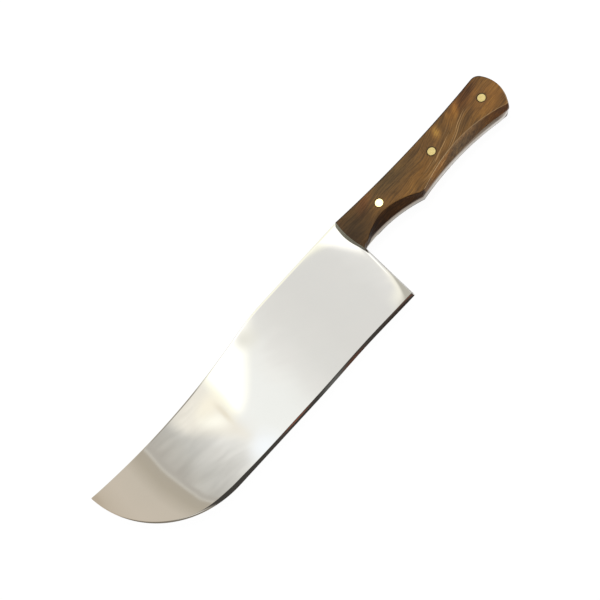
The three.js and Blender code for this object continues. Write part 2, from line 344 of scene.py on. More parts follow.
# The roll's slope falls as a square from the heel to the end of its reach
def heelRoll(x, y):
    least, most = polish["heelReach"]
    lowness = np.clip(1 - y / shoulderY, 0, 1)
    reach = least + (most - least) * lowness ** polish["heelPower"]
    near = np.maximum(0, 1 - np.maximum(0, heelLine(y) - x) / reach)
    return polish["heelSlope"] * reach / 3 * near ** 3


# Sum of sine waves, each over the distance along its heading
def handWaves(x, y):
    rise = 0 * x
    for height, length, heading, start in polish["waves"]:
        across = x * math.cos(heading) + y * math.sin(heading)
        rise = rise + height * (1 + np.sin(2 * math.pi * across / length + start))
    return rise


# The bevel is even along the straight edge, swells where the belly starts, thins, and widens a little at
# the tip
def bevelWidth(t):
    swell = np.exp(-((t - blade["bevelSwellAt"]) / blade["bevelSwellLength"]) ** 2)
    thinned = 1 - blade["bevelThinned"] * smooth(t, *blade["bevelThins"])
    widened = blade["bevelTip"] * smooth(t, *blade["bevelTipFrom"])
    return blade["bevelWidth"] * thinned + blade["bevelSwell"] * swell + widened


# Half sections from the spine to the edge, carried from the heel to the tip: a flat spine with eased
# edges, a flat grind thinning to the bevel's shoulder, the bevel, and the edge. The plate thins to the
# tip as a quarter of an ellipse.
def bladeGrids():
    nearHeel = blade["heelStretch"] * np.linspace(0, 1, blade["heelStations"])[:-1] ** 2
    t = np.concatenate([nearHeel, np.linspace(blade["heelStretch"], 1, blade["stations"])])
    top, foot = alongPath(spinePath(), t), alongPath(edgePath(), t)
    t = t[:, None]
    width = np.maximum(np.linalg.norm(foot - top, axis=1), blade["leastWidth"])[:, None]
    down = ((foot - top) / width)[:, None]
    fullness = np.sqrt(np.maximum(0, 1 - t ** 2))
    edgeHalf = blade["edgeThickness"] / 2
    spineHalf = edgeHalf + (tangHalf - edgeHalf) * fullness
    shoulderHalf = edgeHalf + (blade["bevelShoulder"] / 2 - edgeHalf) * fullness
    bevel = np.minimum(bevelWidth(t), blade["bevelMost"] * width)
    ease = np.minimum(blade["spineRound"], blade["roundMost"] * width)
    ease = np.minimum(ease, blade["roundThickness"] * spineHalf)
    share = np.linspace(0, 1, blade["faceColumns"])[None]
    depth = ease + (width - bevel - ease) * share  # distance below the spine on the flat grind
    x, y = np.moveaxis(top[:, None] + down * depth[..., None], -1, 0)
    flat = spineHalf + (shoulderHalf - spineHalf) * depth / (width - bevel)
    flat = flat - handWaves(x, y) * (1 - smooth(share, *polish["wavesEnd"])) * fullness - heelRoll(x, y)
    fromHeel = np.minimum(1, np.hypot(x - x[:1], y - y[:1]) / blade["heelRound"])
    heelDrop = blade["heelRound"] * (1 - np.sqrt(1 - (1 - fromHeel) ** 2))
    flat = np.maximum(flat - heelDrop, blade["heelLeast"] * edgeHalf)
    turn = np.linspace(0, math.pi / 2, blade["roundColumns"])[None]
    easeDepth, easeHeight = ease * (1 - np.cos(turn)), flat[:, :1] - ease * (1 - np.sin(turn))
    edgeHeight = np.minimum(flat[:, -1:], edgeHalf)
    depth = np.concatenate([0 * t, easeDepth, depth[:, 1:], width, width], 1)
    height = np.concatenate([0 * t, easeHeight, flat[:, 1:], edgeHeight, 0 * t], 1)
    half = atHeight(top[:, None] + down * depth[..., None], np.maximum(height, 0))
    other = half * np.array([1, 1, -1])
    return [half, other, np.stack([half[0], other[0]], 0)]


# Four sides of the handle's outline, moved inwards by an amount on each: lower side and back (both along
# x), front and butt (both upwards). The lower side can be raised by a function of x, as the carved facets
# do, and the wall under it comes last.
def handleSides(frontX, toe, lowIn, roundIn, frontIn, raised=None):
    path = buttPath(roundIn, toe)
    if raised:
        path = path[np.argmax(path[:, 1] >= raised(path[:, 0]) + lowIn):]
    start = fillet[0] - fillet[2] + hairline
    shares = [np.linspace(0, 1, samples[key]) for key in ("fillet", "first", "second")]
    x = np.concatenate([start + shares[0] ** 2 * (fillet[0] - start),
                        fillet[0] + shares[1][1:] * (ridge[0] - fillet[0]),
                        ridge[0] + shares[2][1:] * (path[0, 0] - ridge[0])])
    foot = (frontX + frontIn - start) * (1 - smooth(x, start, start + handle["footBlend"]))
    low = np.stack([x + foot, (raised or grooves)(x) + lowIn], -1)
    low[-1] = path[0]
    up = np.linspace(0, 1, samples["across"])
    far = alongPath(path, up)
    front, run = low[0, 0], low[-1, 0] - low[0, 0]
    highX = front + (path[-1, 0] - front) * (low[:, 0] - front) / run
    high = np.stack([highX, heightOn(grown(backArc, roundIn), highX, -1)], -1)
    high[-1] = path[-1]
    bow = handle["frontBulge"] * (1 - (2 * up - 1) ** 2)
    near = np.stack([front - bow, low[0, 1] + (high[0, 1] - low[0, 1]) * up], -1)
    wall = np.stack([low[:, 0], np.minimum(low[:, 1], lowerSide(x, toe))], -1)
    return low, high, near, far, wall


# How far the second facet's cut has bitten into the tang's edge near the butt, over x
def tangGrind(x):
    return blade["grind"] * smooth(x, *blade["grindComes"]) * (1 - smooth(x, *blade["grindGoes"]))


# The tang has the handle's outline, less a little in front, and chamfered edges. Its lower side and butt
# are ground on the upper edge.
def tangGrids():
    frontX, chamfer = handle["frontX"] + blade["tangSetback"], blade["tangChamfer"]
    outer = handleSides(frontX, blade["tangToe"], 0, 0, 0)[:4]
    inner = handleSides(frontX, blade["tangToe"], chamfer, chamfer, chamfer)[:4]
    low, high, near, far = inner
    groundLow, groundFar = (side + np.c_[0 * side[:, 0], tangGrind(side[:, 0])] for side in (low, far))
    ground = groundLow, high, near, groundFar
    walls = []
    for side, inside, cut in zip(outer, inner, ground):
        bite = blade["grindDepth"] * (cut[:, 1] - inside[:, 1])
        walls.append(np.stack([
            atHeight(inside, -tangHalf),
            atHeight(side, chamfer - tangHalf),
            atHeight(side, tangHalf - chamfer - bite),
            atHeight(cut, tangHalf),
        ], 0))
    return walls + [atHeight(patch(*inner), -tangHalf), atHeight(patch(*ground), tangHalf)]


def steelBlade():
    piece = meshFromGrids("blade_steel", bladeGrids(), blade["crease"])
    tang = meshFromGrids("tang", tangGrids(), blade["crease"])
    carve(piece, "UNION", [tang], blade["crease"])
    return piece


knifeBlade = steelBlade()
print("blade made:", len(knifeBlade.data.polygons), "faces")


# Scales
scales = {
    "backRound": 0.9, "facetRound": 0.5, "frontRound": 0.2,  # eased edges
    "roundsAtBack": (0.88, 1), "roundsAtToe": (0, 0.3), "roundRows": 6,
    "firstWidth": 4.8, "firstStart": 3.6, "firstPower": 0.85, "firstFullness": 0.62,  # under the forefinger
    "firstTaper": 0.8, "firstTaperLength": 20.0,
    "secondWidth": 4.5, "secondRun": 82.0,  # long facet, running out through the butt
    "facetsMeet": 44.2, "facetRunout": 0.4, "facetRows": (0.2, 0.4, 0.6, 0.8),
    "facetHollow": 0.12, "hollowMost": 0.1,
    "crown": 0.12, "crownHalf": 13,
    "frontLean": 1.75, "frontReach": 7.0, "leanFrom": (36.0, 56.0),
    "pinClearance": 0.15, "crease": 25,
}
# Wood left under the facets, the least share of their full width, the toe's softening, the share of the
# tang's grinding, and the lift at the heel: the hidden scale is cut all along, so that nothing of it shows
# below the tang
leftCut = {"rim": 0.8, "least": hairline, "toe": 2.0, "ground": 1.0, "lift": -0.6, "liftLength": 6.0}
rightCut = {"rim": 0.15, "least": 0.6, "toe": 10.0, "ground": 0.0, "lift": 3.0, "liftLength": 9.0}


# Each carved facet is a slanting cut whose width swells as half a sine wave along its groove, the first
# one tapered as a square toward the heel. Gives the width and the height in y of the cut on the rim.
def facetWidth(x, cut):
    start, meet = scales["firstStart"], scales["facetsMeet"]
    first = np.clip((x - start) / (meet - start), 0, 1) ** scales["firstPower"]
    second = np.clip((x - meet) / scales["secondRun"], 0, 1)
    near = np.clip((x - start) / scales["firstTaperLength"], 0, 1)
    taper = 1 - scales["firstTaper"] * (1 - near) ** 2
    firstFull = taper * np.sin(math.pi * first) ** scales["firstFullness"]
    least = cut["least"] * np.maximum(smooth(x, fillet[0] - fillet[2], start), hairline)
    swell = np.maximum(np.where(x < meet, firstFull, np.sin(math.pi * second)), least)
    width = swell * np.where(x < meet, scales["firstWidth"], scales["secondWidth"])
    return width, grooves(x) - scales["facetRunout"] * (1 - swell)


# How far the lower side is raised at the heel's fillet, over x
def heelLift(x, cut):
    return cut["lift"] * (1 - smooth(x, fillet[0], fillet[0] + cut["liftLength"]))


# Height in y of the facets' upper crease over x
def facetTop(x, cut):
    width, rim = facetWidth(x, cut)
    return np.maximum(grooves(x), rim + width) + heelLift(x, cut)


# Height in z where a facet's cut comes out of the wall
def facetRim(x, cut):
    width, rim = facetWidth(x, cut)
    rimZ = tangHalf + cut["rim"]
    return rimZ + np.maximum(0, lowerSide(x, cut["toe"]) - rim) * (outerZ - rimZ) / width


# The outer face is crowned a little, as a square, about the handle's middle line
def faceHeight(x, y):
    middle = (heightOn(backArc, x, -1) + bladeWidth - handle["secondDrop"]) / 2
    return outerZ - scales["crown"] * np.minimum(1, ((y - middle) / scales["crownHalf"]) ** 2)


def onFace(flat):
    return atHeight(flat, faceHeight(flat[..., 0], flat[..., 1]))


# Rows from the tang up the wall to a facet's rim, over the hollow facet to its crease, and round the crease
# onto the face: the hollow is a parabola and the round a quadratic curve pulled toward the crease
def edgeStrip(wall, crease, inner, rim, ease):
    creasePoint, innerPoint = onFace(crease), onFace(inner)
    creaseZ = creasePoint[:, 2]
    rim = np.minimum(rim, creaseZ - ease)
    run = np.linalg.norm(crease - wall, axis=1)
    rise = creaseZ - rim
    slant = np.hypot(run, rise)
    back = np.minimum(1, ease / slant)[:, None]
    rimPoint = atHeight(wall, rim)
    start = creasePoint + (rimPoint - creasePoint) * back
    inward = np.stack([0 * run, rise / slant, -run / slant], -1)
    hollow = np.minimum(scales["facetHollow"], scales["hollowMost"] * run)[:, None] * inward
    rows = [atHeight(wall, tangHalf), rimPoint]
    for share in scales["facetRows"]:
        rows.append(rimPoint + (start - rimPoint) * share + hollow * 4 * share * (1 - share))
    for t in np.linspace(0, 1, scales["roundRows"]):
        rows.append((1 - t) ** 2 * start + 2 * t * (1 - t) * creasePoint + t ** 2 * innerPoint)
    return np.stack(rows, 0)


# The front end leans forward toward the tang: x moves with the depth below the face, less and less
# backwards and toward the lower corner
def leanFront(grid):
    x, y, z = np.moveaxis(grid, -1, 0)
    depth = (outerZ - z) / (outerZ - tangHalf)
    nearFront = 1 - smooth(x, handle["frontX"], handle["frontX"] + scales["frontReach"])
    upward = smooth(y, *scales["leanFrom"])
    return np.stack([x - scales["frontLean"] * depth * nearFront * upward, y, z], -1)


def scaleGrids(cut):
    frontX, raised = handle["frontX"], partial(facetTop, cut=cut)
    small, soft, front = scales["facetRound"], scales["backRound"], scales["frontRound"]
    low, high, near, far, wall = handleSides(frontX, cut["toe"], 0, 0, 0, raised)
    inLow, inHigh, inNear, inFar, _ = handleSides(frontX, cut["toe"], small, soft, front, raised)
    wall[:, 1] += cut["ground"] * tangGrind(wall[:, 0]) + heelLift(wall[:, 0], cut)
    x = low[:, 0]
    up = np.linspace(0, 1, len(near))
    lowEase = front + (small - front) * smooth(x, x[0], scales["firstStart"])
    nearEase = front + (soft - front) * smooth(up, *scales["roundsAtBack"])
    farEase = small + (soft - small) * smooth(up, *scales["roundsAtToe"])
    grids = [
        edgeStrip(wall, low, inLow, facetRim(x, cut), lowEase),
        edgeStrip(high, high, inHigh, outerZ, soft),
        edgeStrip(near, near, inNear, outerZ, nearEase),
        edgeStrip(far, far, inFar, outerZ, farEase),
        onFace(patch(inLow, inHigh, inNear, inFar)),
        atHeight(patch(wall, high, near, far), tangHalf),
    ]
    return [leanFront(grid) for grid in grids]


pinNames = ["front_pin", "middle_pin", "rear_pin"]


def pinPlace(node):
    low, high = (np.array(corner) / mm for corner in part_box(node))
    return (low + high)[:2] / 2 - knifeOrigin[:2], (high - low)[0] / 2


# Holes for the three pins
def drillPins(piece, crease):
    drills = []
    for node in pinNames:
        (x, y), radius = pinPlace(node)
        bore, reach = radius + scales["pinClearance"], 2 * outerZ
        profile = np.array([(0, -reach), (bore, -reach), (bore, reach), (0, reach)])
        drills.append(lathe("drill", x, y, profile))
    carve(piece, "DIFFERENCE", drills, crease)


def woodScale(name, side, cut):
    grids = [grid * np.array([1, 1, side]) for grid in scaleGrids(cut)]
    piece = meshFromGrids(name, grids, scales["crease"])
    drillPins(piece, scales["crease"])
    return piece


leftScale = woodScale("left_scale_wood", 1, leftCut)
rightScale = woodScale("right_scale_wood", -1, rightCut)
drillPins(knifeBlade, blade["crease"])
print("scales made:", len(leftScale.data.polygons), "and", len(rightScale.data.polygons), "faces")


# Pins: sanded flush with the scales, so each end leans a little its own way
pins = {
    "recess": 0.05, "chamfer": 0.18, "innerRing": 0.5,
    "lean": {"front_pin": (0.0, 0.0), "middle_pin": (-0.008, -0.004), "rear_pin": (0.006, -0.01)},
}


def brassPin(node):
    (x, y), radius = pinPlace(node)
    end, chamfer, ring = outerZ - pins["recess"], pins["chamfer"], pins["innerRing"] * radius
    half = np.array([(radius, end - chamfer), (radius - chamfer, end), (ring, end), (0, end)])
    profile = np.concatenate([half[::-1] * np.array([1, -1]), half])
    return lathe(node + "_brass", x, y, profile, tilt=pins["lean"][node])


brassPins = {node: brassPin(node) for node in pinNames}
print("pins made:", len(brassPins))


# Node helpers
def plug(tree, socket, value):
    if isinstance(value, bpy.types.NodeSocket):
        tree.links.new(value, socket)
    else:
        socket.default_value = value


# A node with its settings and inputs: an input is a value or another node's output
def addNode(tree, kind, settings=None, **inputs):
    node = tree.nodes.new("ShaderNode" + kind)
    for key, value in (settings or {}).items():
        setattr(node, key, value)
    for key, value in inputs.items():
        plug(tree, node.inputs[key.replace("_", " ")], value)
    return node


def calc(tree, operation, *values):
    node = addNode(tree, "Math", {"operation": operation})
    for socket, value in zip(node.inputs, values):
        plug(tree, socket, value)
    return node.outputs[0]


def vectorCalc(tree, operation, *values):
    node = addNode(tree, "VectorMath", {"operation": operation})
    for socket, value in zip(node.inputs, values):
        plug(tree, socket, value)
    return node.outputs["Value" if operation == "LENGTH" else "Vector"]


def mixValue(tree, share, a, b):
    node = addNode(tree, "Mix", Factor=share)
    for index, value in ((2, a), (3, b)):
        plug(tree, node.inputs[index], value)
    return node.outputs[0]


# Blend of two colours, each three numbers or another node's output
def mixColour(tree, share, a, b, mode="MIX"):
    node = addNode(tree, "Mix", {"data_type": "RGBA", "blend_type": mode})
    for index, value in ((0, share), (6, a), (7, b)):
        plug(tree, node.inputs[index], (*value, 1) if isinstance(value, tuple) else value)
    return node.outputs[2]


# Value from one range to another, clamped and eased
def remap(tree, value, low, high, toLow=0.0, toHigh=1.0):
    node = addNode(tree, "MapRange", {"interpolation_type": "SMOOTHSTEP"}, Value=value, From_Min=low,
                   From_Max=high, To_Min=toLow, To_Max=toHigh)
    return node.outputs["Result"]


# Colours at places along a value, blended evenly between
def ramp(tree, value, stops):
    start, length = stops[0][0], stops[-1][0] - stops[0][0]
    node = addNode(tree, "ValToRGB", Fac=calc(tree, "MULTIPLY_ADD", value, 1 / length, -start / length))
    elements = node.color_ramp.elements
    for index, (position, colour) in enumerate(stops):
        element = elements[index] if index < 2 else elements.new(1)
        element.position, element.color = (position - start) / length, (*colour, 1)
    return node.outputs["Color"]


def axes(tree, vector):
    return addNode(tree, "SeparateXYZ", Vector=vector).outputs


# Places turned back about z by an angle in degrees
def turnedPlace(tree, place, degrees):
    angle = calc(tree, "MULTIPLY", degrees, -math.pi / 180)
    return addNode(tree, "VectorRotate", {"rotation_type": "Z_AXIS"}, Vector=place, Angle=angle).outputs[0]


def newGroup(name, inputs, output):
    tree = bpy.data.node_groups.new(name, "ShaderNodeTree")
    for label, value in inputs.items():
        kind = "NodeSocketVector" if isinstance(value, tuple) else "NodeSocketFloat"
        tree.interface.new_socket(label, in_out="INPUT", socket_type=kind).default_value = value
    tree.interface.new_socket(output, in_out="OUTPUT", socket_type="NodeSocketFloat")
    return tree, tree.nodes.new("NodeGroupInput").outputs, tree.nodes.new("NodeGroupOutput").inputs


# Noise drawn out along x: Along and Across are the lengths of a streak in millimetres
def streakGroup():
    inputs = {"Vector": (0, 0, 0), "Along": 20.0, "Across": 1.0, "Detail": 2.0, "Seed": 0.0}
    tree, given, out = newGroup("streaks", inputs, "Value")
    size = addNode(tree, "CombineXYZ", X=given["Along"], Y=given["Across"], Z=given["Across"])
    drawn = vectorCalc(tree, "DIVIDE", given["Vector"], size.outputs[0])
    noise = addNode(tree, "TexNoise", {"noise_dimensions": "4D"}, Vector=drawn, W=given["Seed"], Scale=1.0,
                    Detail=given["Detail"], Roughness=0.55)
    plug(tree, out["Value"], noise.outputs["Fac"])
    return tree


# A soft oval: 1 at its centre, easing to 0 at Length and Width from it, turned about z by Turn degrees
def ovalGroup():
    inputs = {"Vector": (0, 0, 0), "Centre": (0, 0, 0), "Length": 10.0, "Width": 5.0, "Turn": 0.0}
    tree, given, out = newGroup("softOval", inputs, "Mask")
    away = vectorCalc(tree, "SUBTRACT", given["Vector"], given["Centre"])
    flat = vectorCalc(tree, "MULTIPLY", away, (1, 1, 0))
    size = addNode(tree, "CombineXYZ", X=given["Length"], Y=given["Width"], Z=1.0)
    scaled = vectorCalc(tree, "DIVIDE", turnedPlace(tree, flat, given["Turn"]), size.outputs[0])
    plug(tree, out["Mask"], remap(tree, vectorCalc(tree, "LENGTH", scaled), 1.0, 0.0))
    return tree


# A straight soft border through Point: 1 on the side that Turn points to (degrees about z), 0 on the
# other, easing over Blur on both sides
def edgeGroup():
    inputs = {"Vector": (0, 0, 0), "Point": (0, 0, 0), "Turn": 0.0, "Blur": 5.0}
    tree, given, out = newGroup("softEdge", inputs, "Mask")
    away = vectorCalc(tree, "SUBTRACT", given["Vector"], given["Point"])
    side = axes(tree, turnedPlace(tree, away, given["Turn"]))["X"]
    plug(tree, out["Mask"], remap(tree, calc(tree, "DIVIDE", side, given["Blur"]), -1.0, 1.0))
    return tree


streaks, softOval, softEdge = streakGroup(), ovalGroup(), edgeGroup()


def useGroup(tree, group, **inputs):
    node = addNode(tree, "Group", {"node_tree": group})
    for key, value in inputs.items():
        plug(tree, node.inputs[key], value)
    return node.outputs[0]


def streakNoise(tree, place, along, across, detail, seed):
    return useGroup(tree, streaks, Vector=place, Along=along, Across=across, Detail=detail, Seed=seed)


def ovalMask(tree, place, x, y, length, width, turn=0.0):
    return useGroup(tree, softOval, Vector=place, Centre=(x, y, 0), Length=length, Width=width, Turn=turn)


def newMaterial(name, **inputs):
    material = bpy.data.materials.new(name)
    material.use_nodes = True
    tree = material.node_tree
    shader = tree.nodes["Principled BSDF"]
    for key, value in inputs.items():
        shader.inputs[key.replace("_", " ")].default_value = value
    return material, tree, shader


# Places on a piece in millimetres of the frame
def placeOn(tree):
    place = vectorCalc(tree, "SCALE", addNode(tree, "TexCoord").outputs["Object"])
    place.node.inputs["Scale"].default_value = 1 / mm
    return place


# Bump of a strength, and a depth in millimetres
def addBump(tree, shader, height, strength, depth):
    bump = addNode(tree, "Bump", Height=height, Strength=strength, Distance=depth * mm)
    plug(tree, shader.inputs["Normal"], bump.outputs["Normal"])


# Wood: oiled, with fine grain that swings up toward the butt. Tones run from dark pores to golden figure,
# and places are millimetres of the frame.
wood = {
    "tones": [(0.0, (0.014, 0.008, 0.004)), (0.25, (0.050, 0.027, 0.011)), (0.45, (0.108, 0.055, 0.018)),
              (0.65, (0.190, 0.092, 0.024)), (0.85, (0.320, 0.170, 0.036)), (1.0, (0.45, 0.26, 0.06))],
    "slope": 0.05, "swing": (98.0, 150.0, 0.0, 13.0), "sway": 4.0, "swayScale": 0.06,
    # length, width, detail and seed of the streaks, and their shares of the tone
    "streaks": {"clouds": (14.0, 6.0, 3.0, 0), "bands": (30.0, 1.8, 2.0, 2), "lines": (12.0, 0.7, 3.0, 3),
                "pores": (3.0, 0.18, 1.0, 7), "feather": (26.0, 0.8, 1.5, 11)},
    "shares": {"clouds": 0.35, "bands": 0.3, "lines": 0.85}, "middleTone": 0.5,
    "calm": (50.0, 68.0, 0.5, 1.0),  # quieter figure near the blade
    # x, y, length, width, turn, tone added
    "zones": [
        (120.5, 21.6, 7.5, 4.2, 68, 0.38), (136.5, 22, 8, 2.8, 48, 0.22), (131.5, 24.4, 4, 2.4, 60, 0.16),
        (131, 20.5, 20, 6, 42, 0.14), (92, 9, 34, 10, 10, 0.10), (88, 25, 30, 9, -4, -0.06),
        (46, 16, 26, 26, 0, -0.26), (154, 11, 24, 13, 20, 0.16), (141, 15.5, 20, 2.6, 22, -0.05),
        (150, 26, 14, 6, 10, -0.18), (57, 19.5, 11, 6, 0, -0.09), (81, 20.5, 18, 7, 0, -0.09),
        (99, 16.5, 14, 5, 0, -0.07), (138, 20.5, 14, 5, 0, -0.08), (147.5, 23.7, 7, 4, 0, -0.09),
        (133, 25.5, 6, 3.5, 0, -0.11), (122, 18, 9, 4, 20, -0.06), (85.5, 27.3, 12, 3.5, 0, -0.13),
        (104, 23.5, 7, 4, 0, -0.05), (146, 8.2, 14, 2.2, -10, 0.06), (143, 12.8, 12, 3.5, 0, -0.08),
        (126, 16.2, 7, 3, 16, -0.08), (60, 20, 6, 4, 0, -0.06),
    ],
    # x, y, length, width, turn, tint
    "tints": [(82, 24, 32, 11, -4, (0.82, 0.97, 1.22)), (49, 19, 14, 16, 0, (0.92, 1.0, 1.12)),
              (64.5, 25.5, 13, 6, 30, (1.20, 0.94, 0.90)), (146, 25, 18, 8, 10, (1.10, 0.90, 0.85)),
              (154, 12, 22, 15, 0, (1.03, 0.95, 0.91)), (137, 20.5, 17, 8, 0, (0.98, 0.91, 0.80)),
              (101, 12, 15, 6, 0, (0.97, 0.93, 0.84))],
    "pale": (0.38, 0.23, 0.095), "paleZone": (119, 12.5, 36, 6, 16), "featherFrom": (0.54, 0.68),
    "pore": (0.018, 0.011, 0.007), "poreFrom": (0.40, 0.30), "poreShare": 0.5,
    # painted shade on the back, facing +y, and painted olive light on the front end, facing -x: how far the
    # surface faces along y or x, and the share there
    "back": (0.012, 0.008, 0.006), "backShadeFacing": (0.04, 0.25, 0.0, 0.85),
    "front": (0.34, 0.33, 0.25), "frontLightFacing": (-0.5, -0.8, 0.0, 0.8), "frontLightFrom": (4.5, 9.0),
    # facets: painted shade on the first; on the second, tints (x, y, length, width, turn, tint) give
    # painted light, a painted sheen, darkening toward the butt and two thin painted highlights; crease is
    # the colour of a painted highlight along the upper crease
    "facetFacing": (-0.40, -0.55), "facetStarts": (48.0, 53.5), "facetsMeet": 91.5, "meetBlur": 0.5,
    "firstFacetShade": (0.29, 0.24, 0.22), "secondFacetShade": (0.95, 0.90, 0.92),
    "facetLightTints": [(100, 8, 15, 16, 0, (1.25, 1.18, 1.15)), (124, 6.5, 26, 14, 0, (1.05, 1.35, 2.5)),
                   (166, 3, 42, 42, 0, (0.62, 0.46, 0.44)), (105, 7.2, 21, 2.6, 6, (2.7, 2.5, 2.4)),
                   (132, 8.2, 26, 2.0, -5, (1.75, 1.95, 2.9))],
    "crease": (0.40, 0.28, 0.15), "creaseHighlightFacing": [(-0.05, -0.18), (-0.58, -0.45)],
    "creaseHighlightFades": (106.0, 124.0, 0.75, 0.42),
    "pinShade": 4.2, "pinShadeFrom": (0.05, 0.4),
    "pinShades": {"front_pin": 0.35, "middle_pin": 0.8, "rear_pin": 0.8},
    "shine": 0.12, "rough": 0.34, "roughLines": 0.2, "roughPores": 0.2,
    "bump": 0.2, "bumpDepth": 0.06, "bumpLines": 0.5,
}


# Grain places: the level falls along x by a slope and a swing, so that the grain rises, with a slow sway
def grainPlace(tree, place, spot):
    swing = remap(tree, spot["X"], *wood["swing"])
    level = calc(tree, "SUBTRACT", calc(tree, "MULTIPLY_ADD", spot["X"], -wood["slope"], spot["Y"]), swing)
    sway = addNode(tree, "TexNoise", Vector=place, Scale=wood["swayScale"], Detail=1.0).outputs["Fac"]
    level = calc(tree, "MULTIPLY_ADD", sway, wood["sway"], level)
    return addNode(tree, "CombineXYZ", X=spot["X"], Y=level, Z=spot["Z"]).outputs[0]


# Colours of the figure: a tone summed from streaks and soft ovals, looked up in the wood's tones, tinted by
# ovals, then pale feathering and dark pores
def figure(tree, place, x, noise, pore):
    tone = wood["middleTone"]
    calm = remap(tree, x, *wood["calm"])
    for key, share in wood["shares"].items():
        added = calc(tree, "MULTIPLY_ADD", noise[key], share, -share / 2)
        tone = calc(tree, "MULTIPLY_ADD", added, calm, tone)
    for *oval, added in wood["zones"]:
        tone = calc(tree, "MULTIPLY_ADD", ovalMask(tree, place, *oval), added, tone)
    colour = ramp(tree, tone, wood["tones"])
    for *oval, tint in wood["tints"]:
        colour = mixColour(tree, ovalMask(tree, place, *oval), colour, tint, "MULTIPLY")
    feather = remap(tree, noise["feather"], *wood["featherFrom"])
    feather = calc(tree, "MULTIPLY", ovalMask(tree, place, *wood["paleZone"]), feather)
    colour = mixColour(tree, feather, colour, wood["pale"])
    return mixColour(tree, calc(tree, "MULTIPLY", pore, wood["poreShare"]), colour, wood["pore"])


# The facets face the edge's side: painted shade makes the first nearly black; the second gets painted light
# on its left part, a painted grey sheen and painted highlights along its crease, and darkens toward the
# butt
def facetLightAndShade(tree, place, colour, x, facing):
    first = remap(tree, x, wood["facetsMeet"] + wood["meetBlur"], wood["facetsMeet"] - wood["meetBlur"])
    second = calc(tree, "SUBTRACT", 1.0, first)
    shade = mixColour(tree, first, wood["secondFacetShade"], wood["firstFacetShade"])
    paintedFacets = mixColour(tree, 1.0, colour, shade, "MULTIPLY")
    for *oval, tint in wood["facetLightTints"]:
        mask = calc(tree, "MULTIPLY", ovalMask(tree, place, *oval), second)
        paintedFacets = mixColour(tree, mask, paintedFacets, mixColour(tree, 1.0, colour, tint, "MULTIPLY"))
    starts = remap(tree, x, *wood["facetStarts"])
    facet = calc(tree, "MULTIPLY", remap(tree, facing, *wood["facetFacing"]), starts)
    colour = mixColour(tree, facet, colour, paintedFacets)
    # painted highlight along the second facet's upper crease
    crease = calc(tree, "MULTIPLY", *(remap(tree, facing, *limits) for limits in wood["creaseHighlightFacing"]))
    fading = calc(tree, "MULTIPLY", remap(tree, x, *wood["creaseHighlightFades"]), second)
    return mixColour(tree, calc(tree, "MULTIPLY", crease, fading), colour, wood["crease"])


# Figure, painted light and shade on the facets, painted shade on the eased back, dark rings round the pins
# and painted olive light on the front end
def carvedWood(name, seed):
    material, tree, shader = newMaterial(name, Specular_IOR_Level=wood["shine"])
    place = placeOn(tree)
    spot, normal = axes(tree, place), axes(tree, addNode(tree, "TexCoord").outputs["Normal"])
    grain = grainPlace(tree, place, spot)
    noise = {key: streakNoise(tree, grain, *size, seed + shift)
             for key, (*size, shift) in wood["streaks"].items()}
    pore = remap(tree, noise["pores"], *wood["poreFrom"])
    colour = figure(tree, place, spot["X"], noise, pore)
    colour = facetLightAndShade(tree, place, colour, spot["X"], normal["Y"])
    # painted shade: surfaces that face the back (+y) are darkened
    colour = mixColour(tree, remap(tree, normal["Y"], *wood["backShadeFacing"]), colour, wood["back"])
    for node in pinNames:
        x, y = pinPlace(node)[0] + knifeOrigin[:2]
        around = ovalMask(tree, place, x, y, wood["pinShade"], wood["pinShade"])
        ring = remap(tree, around, *wood["pinShadeFrom"], 0.0, wood["pinShades"][node])
        colour = mixColour(tree, ring, colour, wood["back"])
    # painted olive light on the front end face, standing in for light reflected from the blade; it fades
    # toward the lower corner
    end = remap(tree, normal["X"], *wood["frontLightFacing"])
    end = calc(tree, "MULTIPLY", end, remap(tree, spot["Y"], *wood["frontLightFrom"]))
    plug(tree, shader.inputs["Base Color"], mixColour(tree, end, colour, wood["front"]))
    rough = calc(tree, "MULTIPLY_ADD", noise["lines"], wood["roughLines"], wood["rough"])
    plug(tree, shader.inputs["Roughness"], calc(tree, "MULTIPLY_ADD", pore, wood["roughPores"], rough))
    height = calc(tree, "SUBTRACT", calc(tree, "MULTIPLY", noise["lines"], wood["bumpLines"]), pore)
    addBump(tree, shader, height, wood["bump"], wood["bumpDepth"])
    return material


# Steel: mirror polish on the blade, fine ground lines on the tang's narrow sides
steel = {
    "colour": (0.80, 0.79, 0.77), "smear": (0.785, 0.78, 0.762), "smearFrom": (0.3, 0.7),
    "tangFrom": (-0.6, 0.2),  # either side of the heel
    "tangTones": [(48, (0.37, 0.335, 0.285)), (86, (0.38, 0.355, 0.32)), (100, (0.58, 0.55, 0.51)),
                  (118, (0.58, 0.55, 0.51)), (132, (0.47, 0.435, 0.39)), (146, (0.62, 0.59, 0.55))],
    "tangTop": (0.26, 0.185, 0.12), "tangTopFrom": (6.5, 8.9, 0.0, 0.78),  # brown under the upper scale
    "groundTones": (0.3, 0.7, 0.88, 1.12),
    # length, width, detail and seed of the streaks
    "smears": (30.0, 30.0, 3.0, 2.0), "polishLines": (14.0, 0.12, 2.0, 5.0), "polishTurn": 78,
    "groundLines": (9.0, 0.15, 2.0, 8.0),
    "mirror": (0.35, 0.75, 0.012, 0.035), "mirrorLines": 0.015, "satin": 0.28, "satinLines": 0.2,
    "bump": 0.015, "bumpDepth": 0.02,
}


